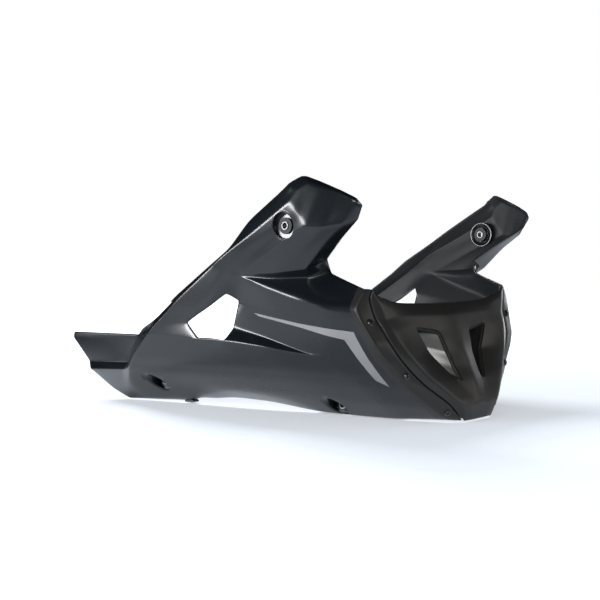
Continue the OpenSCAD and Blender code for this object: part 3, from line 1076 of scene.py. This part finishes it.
@dataclass
class Studio:
    """Floor, lamps, background and camera.

    Attributes:
        azimuth: camera's angle from +X towards -Y, in degrees.
        elevation: camera's angle above the horizon.
        distance: camera's distance from its target, in metres.
        focal: focal length in pixels of the 600-pixel frame.
        floor_glow: how much the floor is lifted towards white for the camera.
        near_glow: the same close to the pan, where the lamps are brighter.
        mirror_glow: the share of that lift in reflections.
        table: x and y of the middle of the bright table that reflections see on each
            side of the pan, and the distances at which it starts and ends to fade.
        lift: distances from it at which the lift starts and ends to grow.
        table_dark: how dark the floor's reflection gets beyond the table.
        floor_half: half the floor's side, in metres.
        floor_z: its height, just below the pan.
        floor_colour: its colour.
        fill: strength of the world's even light on the pan.
        fill_colour: that light's colour.
        tent_rim: angle above the horizon at which the black tent starts, in degrees.
        tent_radius: the tent's radius in metres.
        tent_cells: cells of the tent up and round.
        aim: the point that the lamps face.
        target: the point that the camera looks at.
        lamps: the lamps.
    """

    azimuth: float = 50.66
    elevation: float = 1.83
    distance: float = 1.34
    focal: float = 1063.0
    floor_glow: float = 0.8
    near_glow: float = 0.32
    mirror_glow: float = 0.4
    table: Quad = (0.10, 0.25, 0.40, 0.60)
    lift: tuple[float, float] = (0.3, 1.5)
    table_dark: float = 0.92
    floor_half: float = 9
    floor_z: float = -0.0008
    floor_colour: Quad = (0.76, 0.83, 0.92, 1)
    fill: float = 0.3
    fill_colour: Quad = (0.92, 0.95, 1.0, 1)
    tent_rim: float = 2.0
    tent_radius: float = 5.0
    tent_cells: tuple[int, int] = (9, 48)
    aim: Triple = (0, 0, 0.1)
    target: Triple = (SHIFT_X * MM, 0.0, 0.127)
    lamps: tuple[Lamp, ...] = (
        Lamp("right_band", (-1.65, -2.75, 0.38), (2.5, 0.7), 125, (0.95, 0.97, 1.0)),
        Lamp("left_band", (-1.0, 3.1, 0.42), (3.0, 0.75), 28, (0.95, 0.97, 1.0)),
        Lamp("front_box", (2.6, 2.4, 0.9), (1.6, 0.8), 6, (1.0, 0.96, 0.92)),
        Lamp("nose_box", (2.3, -1.93, 0.9), (1.5, 1.0), 38, (1.0, 0.99, 0.97)),
        Lamp("rear_fill", (-2.4, 0.5, 2.3), (1.6, 1.6), 80, (1.0, 0.98, 0.96), mirrored=False),
    )

    def camera(self) -> None:
        """Puts the camera where the upper picture was taken from."""
        data = bpy.data.cameras.new("camera")
        data.sensor_width = SENSOR
        data.lens = self.focal / FRAME_SIDE * SENSOR
        data.clip_start, data.clip_end = 0.05, 50
        eye = show(bpy.data.objects.new("camera", data))
        a, e = math.radians(self.azimuth), math.radians(self.elevation)
        back = np.array([math.cos(a) * math.cos(e), -math.sin(a) * math.cos(e), math.sin(e)])
        right = np.array([math.sin(a), math.cos(a), 0.0])
        up = np.cross(back, right)
        turn = np.eye(4)
        turn[:3, 0], turn[:3, 1], turn[:3, 2] = right, up, back
        turn[:3, 3] = np.array(self.target) + back * self.distance
        eye.matrix_world = Matrix(turn.tolist())
        bpy.context.scene.camera = eye

    def floor(self) -> None:
        """Lays the pale floor: lifted towards white for the camera, with the pan's shadow kept.

        Formula: reach is the distance, along the floor, from the nearer of two points, one on
        each side of the pan. The lift grows with reach in a smooth step. Reflections see less
        of the lift, and beyond the table they see the floor go dark in another smooth step.
        """
        w, z = self.floor_half, self.floor_z
        data = bpy.data.meshes.new("floor")
        data.from_pydata([(-w, -w, z), (w, -w, z), (w, w, z), (-w, w, z)], [], [(0, 1, 2, 3)])
        slab = show(bpy.data.objects.new("floor", data))
        skin = bpy.data.materials.new("pale_floor")
        skin.use_nodes = True
        tree = skin.node_tree
        n = tree.nodes
        matt, glow, both = n["Principled BSDF"], n.new("ShaderNodeEmission"), n.new("ShaderNodeAddShader")
        preset(matt, {"Base Color": self.floor_colour, "Roughness": 0.9, "Specular IOR Level": 0.0})
        preset(glow, {"Color": WHITE})
        dark, ends = n.new("ShaderNodeBsdfDiffuse"), n.new("ShaderNodeMixShader")
        preset(dark, {"Color": (0, 0, 0, 1)})
        path, where = n.new("ShaderNodeLightPath"), n.new("ShaderNodeTexCoord")
        split, join = n.new("ShaderNodeSeparateXYZ"), n.new("ShaderNodeCombineXYZ")

        # reach
        x, y, near, far = self.table
        side, along, across = calc(tree, "ABSOLUTE"), calc(tree, "SUBTRACT"), calc(tree, "SUBTRACT")
        along.inputs[1].default_value, across.inputs[1].default_value = x, y
        reach = n.new("ShaderNodeVectorMath")
        reach.operation = "LENGTH"
        wire(
            tree, (where, "Object", split, "Vector"), (split, "X", along, 0), (split, "Y", side, 0),
            (side, "Value", across, 0), (along, "Value", join, "X"), (across, "Value", join, "Y"),
            (join, "Vector", reach, 0),
        )

        # the lift, in full for the camera and in part for reflections
        lift = smooth_range(tree, (*self.lift, self.near_glow, self.floor_glow))
        dim, rays, seen = calc(tree, "MULTIPLY"), calc(tree, "ADD", clamp=True), calc(tree, "MULTIPLY")
        preset(dim, {1: self.mirror_glow})
        wire(
            tree, (path, "Is Glossy Ray", dim, 0), (path, "Is Camera Ray", rays, 0),
            (dim, "Value", rays, 1), (reach, "Value", lift, "Value"), (rays, "Value", seen, 0),
            (lift, "Result", seen, 1), (seen, "Value", glow, "Strength"), (matt, "BSDF", both, 0),
            (glow, "Emission", both, 1),
        )

        # the fade beyond the table, for reflections only
        fade, share = smooth_range(tree, (near, far, 0.0, self.table_dark)), calc(tree, "MULTIPLY")
        wire(
            tree, (reach, "Value", fade, "Value"), (fade, "Result", share, 0),
            (path, "Is Glossy Ray", share, 1), (share, "Value", ends, "Fac"), (both, "Shader", ends, 1),
            (dark, "BSDF", ends, 2), (ends, "Shader", n["Material Output"], "Surface"),
        )
        data.materials.append(skin)

    def tent(self) -> None:
        """Hangs a black tent that only reflections see, so that upward faces stay dark.

        Formula: a dome of the tent's radius, from a low rim up to the top.
        """
        up, around = self.tent_cells
        rises = np.radians(np.linspace(self.tent_rim, 89.9, up + 1))
        turn, rise = np.meshgrid(np.linspace(0, 2 * np.pi, around + 1), rises)
        ball = np.stack([np.cos(turn) * np.cos(rise), np.sin(turn) * np.cos(rise), np.sin(rise)], axis=2)
        points, quads, _ = net_cells(ball * self.tent_radius, np.ones(self.tent_cells, bool))
        dome = mesh_object("black_tent", points, quads)
        skin = bpy.data.materials.new("black_cloth")
        skin.use_nodes = True
        shader = skin.node_tree.nodes["Principled BSDF"]
        preset(shader, {"Base Color": (0.004, 0.004, 0.004, 1), "Specular IOR Level": 0.0, "Roughness": 1.0})
        dome.data.materials.append(skin)
        dome.visible_camera = dome.visible_diffuse = dome.visible_shadow = False
        dome.visible_transmission = dome.visible_volume_scatter = False

    def world(self) -> None:
        """White to the camera, in reflections and through clear things, and an even light on the pan."""
        world = bpy.data.worlds.new("world")
        bpy.context.scene.world = world
        world.use_nodes = True
        tree = world.node_tree
        n = tree.nodes
        path = n.new("ShaderNodeLightPath")
        mix = n.new("ShaderNodeMixShader")
        soft = n["Background"]
        preset(soft, {"Color": self.fill_colour, "Strength": self.fill})
        white = n.new("ShaderNodeBackground")
        preset(white, {"Color": WHITE, "Strength": 1.0})
        rays, more = (calc(tree, "ADD", clamp=True) for _ in range(2))
        wire(
            tree, (path, "Is Camera Ray", rays, 0), (path, "Is Glossy Ray", rays, 1),
            (rays, "Value", more, 0), (path, "Is Transmission Ray", more, 1),
            (more, "Value", mix, "Fac"), (soft, "Background", mix, 1), (white, "Background", mix, 2),
            (mix, "Shader", n["World Output"], "Surface"),
        )

    def build(self) -> None:
        """Sets the whole studio up."""
        bpy.context.scene.view_settings.view_transform = "Standard"
        self.camera()
        self.floor()
        self.world()
        self.tent()
        for lamp in self.lamps:
            lamp.hang(self.aim)


def main() -> None:
    """Builds the pan's sub-assemblies in order, then the studio."""
    logging.basicConfig(level=logging.INFO, format="%(name)s %(message)s")
    grain = grain_group()
    skins = {word: finish.build(grain) for word, finish in FINISHES.items()}
    panels = [SidePanel(side, skins) for side in Side]
    for panel in panels:
        panel.build()
    NoseScoop(panels[0].net(), skins).build()
    Hardware(skins).dress()
    Studio().build()


if __name__ == "__main__":
    main()
